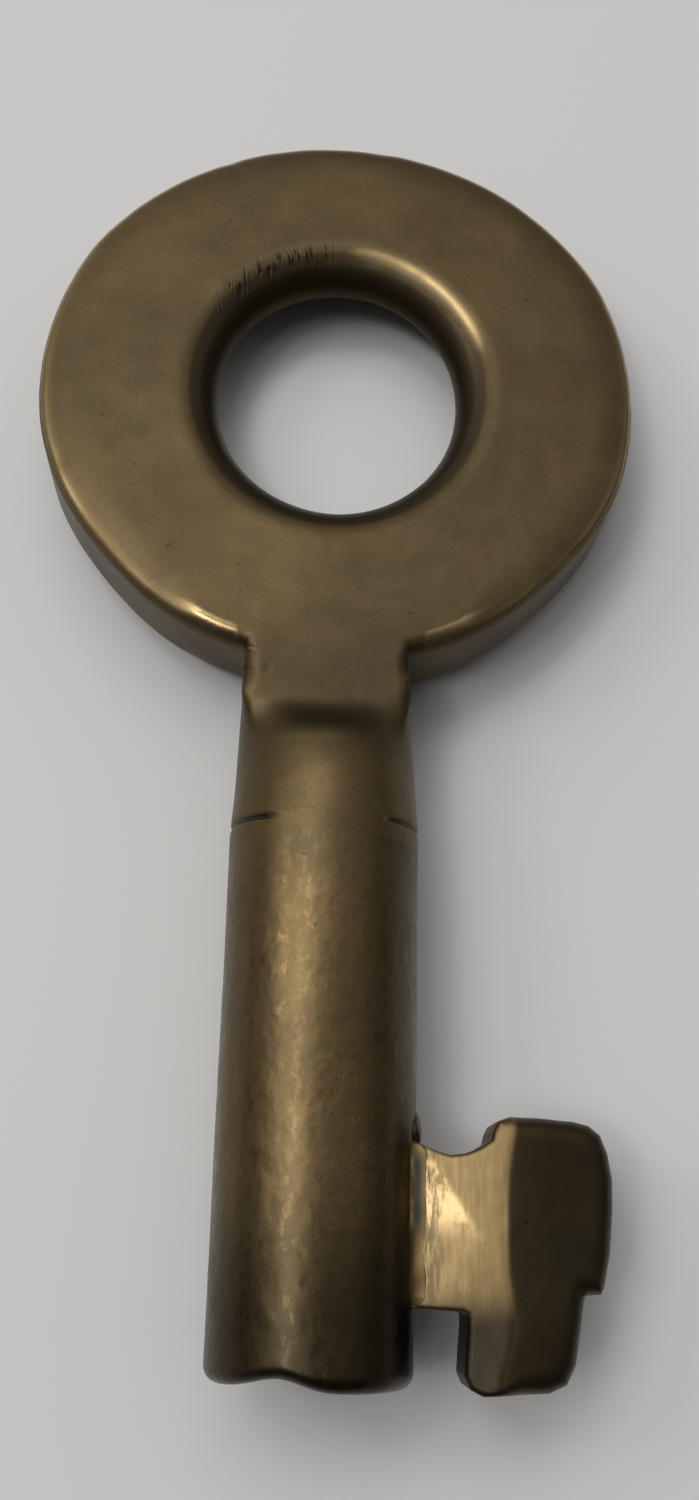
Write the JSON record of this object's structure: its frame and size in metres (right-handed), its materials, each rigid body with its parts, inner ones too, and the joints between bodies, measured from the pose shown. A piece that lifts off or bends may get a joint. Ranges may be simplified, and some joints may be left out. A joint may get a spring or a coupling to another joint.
{
  "type": "switch key",
  "caption": "Hollow-barrel railroad switch key: flat ring bow, flared round neck and flag bit, all in aged brass. Its bore slips over a lock's post.",
  "frame": {"origin": "centre of the hole in the bow, at mid thickness", "axes": "+Z square to the bow's faces, -Y along the barrel and out of its mouth, +X towards the bit"},
  "size_m": [0.0272, 0.0559, 0.008],
  "materials": {
    "bow_brass": "brown patina, satin, polished by handling",
    "barrel_brass": "brown patina, satin, lightly dented",
    "bit_brass": "bare filed brass on the web, brown patina on the head",
    "solder": "dull dark braze"
  },
  "bodies": {
    "root": {"bow": "bow_brass", "barrel": "barrel_brass", "bit": "bit_brass", "neck_solder": "solder", "bit_solder_front": "solder", "bit_solder_back": "solder", "bit_solder_end": "solder"}
  },
  "joints": []
}
